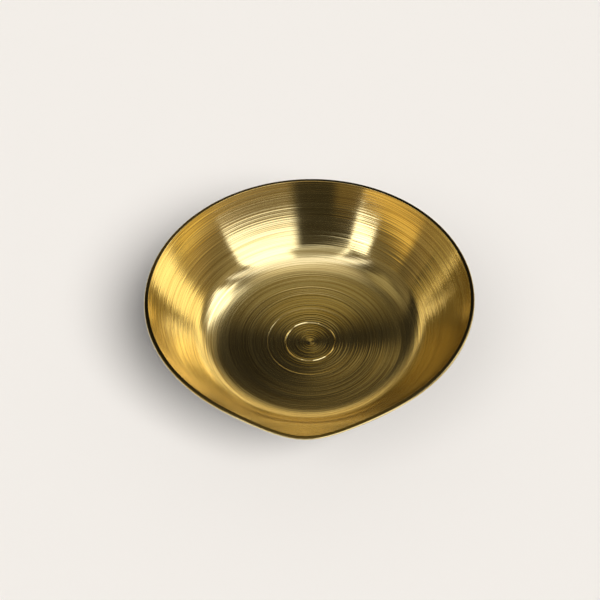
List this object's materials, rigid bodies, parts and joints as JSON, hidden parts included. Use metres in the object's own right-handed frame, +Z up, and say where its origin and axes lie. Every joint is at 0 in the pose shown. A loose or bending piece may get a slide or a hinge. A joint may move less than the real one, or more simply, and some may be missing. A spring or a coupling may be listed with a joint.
{
  "type": "butter lamp",
  "caption": "Small round brass dish lamp with a turned bowl, a rim drawn out to one blunt lip for the wick, and a low foot riveted through the floor.",
  "frame": {"origin": "centre of the flat underside of the foot, on the turning axis of the bowl", "axes": "+Z up along the turning axis, -Y towards the lip"},
  "size_m": [0.0758, 0.0792, 0.0248],
  "materials": {
    "turned_brass": "satin, with fine concentric turning marks",
    "foot_brass": "satin, turned, slightly duller underneath"
  },
  "bodies": {
    "root": {"bowl": "turned_brass", "foot": "foot_brass"}
  },
  "joints": []
}
